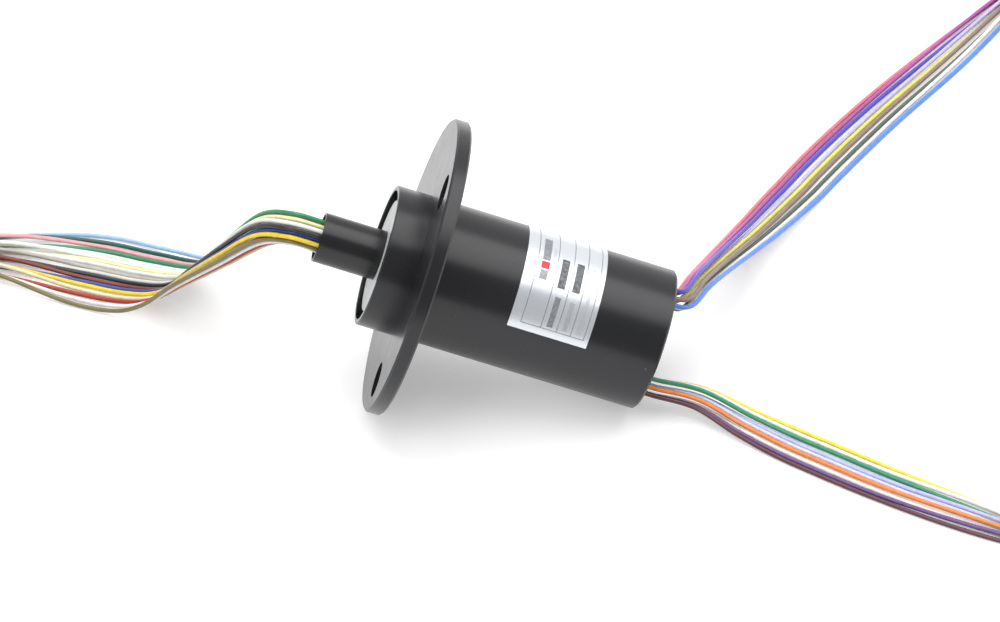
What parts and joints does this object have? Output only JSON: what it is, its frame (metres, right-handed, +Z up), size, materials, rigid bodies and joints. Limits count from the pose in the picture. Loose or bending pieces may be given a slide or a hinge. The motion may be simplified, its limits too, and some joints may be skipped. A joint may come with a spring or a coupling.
{
  "type": "slip ring",
  "caption": "Capsule slip ring: round black housing with a screw flange, recessed rotor face and stub, and bundles of thin coloured leads at both ends.",
  "frame": {"origin": "on the table, under the middle of the body without its leads", "axes": "+X from the rotor stub to the rear cover, level; +Z up; the ring's own axis lies in the XZ plane and dips 18.25 degrees towards +X"},
  "size_m": [0.2342, 0.1705, 0.0446],
  "materials": {
    "black_housing": "satin black moulded plastic",
    "black_cover": "satin black moulded plastic",
    "dark_potting": "dark cast resin",
    "bearing_steel": "ground steel",
    "ball_steel": "polished steel",
    "brush_board": "filled resin",
    "gold_alloy": "gold-plated",
    "silver_foil": "silver foil label with plain bars of print",
    "mandrel_resin": "moulded resin",
    "insulator_resin": "moulded resin",
    "face_disc": "light satin plastic",
    "black_sleeve": "smooth black plastic",
    "pale_potting": "pale cast resin",
    "spring_steel": "spring steel",
    "lead_bundle": "coiled insulated leads",
    "lead_light_blue": "smooth wire insulation",
    "lead_dark_teal": "smooth wire insulation",
    "lead_pink": "smooth wire insulation",
    "lead_green": "smooth wire insulation",
    "lead_white": "smooth wire insulation",
    "lead_pale_yellow": "smooth wire insulation",
    "lead_taupe": "smooth wire insulation",
    "lead_grey_white": "smooth wire insulation",
    "lead_black": "smooth wire insulation",
    "lead_dark_red": "smooth wire insulation",
    "lead_blue": "smooth wire insulation",
    "lead_yellow": "smooth wire insulation",
    "lead_cream": "smooth wire insulation",
    "lead_brick_red": "smooth wire insulation",
    "lead_olive": "smooth wire insulation",
    "lead_lavender": "smooth wire insulation",
    "lead_pale_lavender": "smooth wire insulation",
    "lead_orange": "smooth wire insulation",
    "lead_off_white": "smooth wire insulation",
    "lead_purple": "smooth wire insulation",
    "lead_maroon": "smooth wire insulation",
    "lead_rose": "smooth wire insulation",
    "lead_magenta": "smooth wire insulation",
    "lead_violet_blue": "smooth wire insulation",
    "lead_lemon": "smooth wire insulation",
    "lead_brown_grey": "smooth wire insulation",
    "lead_grey_green": "smooth wire insulation",
    "lead_mid_blue": "smooth wire insulation"
  },
  "bodies": {
    "stator": {"flanged_housing": "black_housing", "rear_cover": "black_cover", "outlet_potting": "dark_potting", "front_bearing_outer_race": "bearing_steel", "front_bearing_balls": "ball_steel", "rear_bearing_outer_race": "bearing_steel", "rear_bearing_balls": "ball_steel", "brush_block_a": "brush_board", "brush_block_b": "brush_board", "brush_wires_a": "gold_alloy", "brush_wires_b": "gold_alloy", "rating_label": "silver_foil", "lower_lead_coil": "lead_bundle", "upper_lead_coil": "lead_bundle", "lower_lead_01": "lead_yellow", "lower_lead_02": "lead_white", "lower_lead_03": "lead_green", "lower_lead_04": "lead_lavender", "lower_lead_05": "lead_pale_lavender", "lower_lead_06": "lead_orange", "lower_lead_07": "lead_off_white", "lower_lead_08": "lead_purple", "lower_lead_09": "lead_maroon", "upper_lead_01": "lead_rose", "upper_lead_02": "lead_magenta", "upper_lead_03": "lead_violet_blue", "upper_lead_04": "lead_pale_lavender", "upper_lead_05": "lead_lemon", "upper_lead_06": "lead_brown_grey", "upper_lead_07": "lead_grey_green", "upper_lead_08": "lead_white", "upper_lead_09": "lead_mid_blue"},
    "rotor": {"rotor_mandrel": "mandrel_resin", "contact_rings": "gold_alloy", "ring_insulators": "insulator_resin", "rotor_face_disc": "face_disc", "stub_sleeve": "black_sleeve", "stub_potting": "pale_potting", "front_bearing_inner_race": "bearing_steel", "rear_bearing_inner_race": "bearing_steel", "shaft_circlip": "spring_steel", "rotor_lead_coil": "lead_bundle", "rotor_lead_01": "lead_light_blue", "rotor_lead_02": "lead_dark_teal", "rotor_lead_03": "lead_pink", "rotor_lead_04": "lead_green", "rotor_lead_05": "lead_white", "rotor_lead_06": "lead_white", "rotor_lead_07": "lead_pale_yellow", "rotor_lead_08": "lead_white", "rotor_lead_09": "lead_taupe", "rotor_lead_10": "lead_grey_white", "rotor_lead_11": "lead_black", "rotor_lead_12": "lead_dark_red", "rotor_lead_13": "lead_blue", "rotor_lead_14": "lead_yellow", "rotor_lead_15": "lead_cream", "rotor_lead_16": "lead_brick_red", "rotor_lead_17": "lead_white", "rotor_lead_18": "lead_olive"}
  },
  "joints": [
    {"name": "rotor_spin", "type": "hinge", "parent": "stator", "child": "rotor", "pos_m": [-0.01062, 0, 0.02194], "axis": [0.9497, 0, -0.3131], "continuous": true}
  ]
}
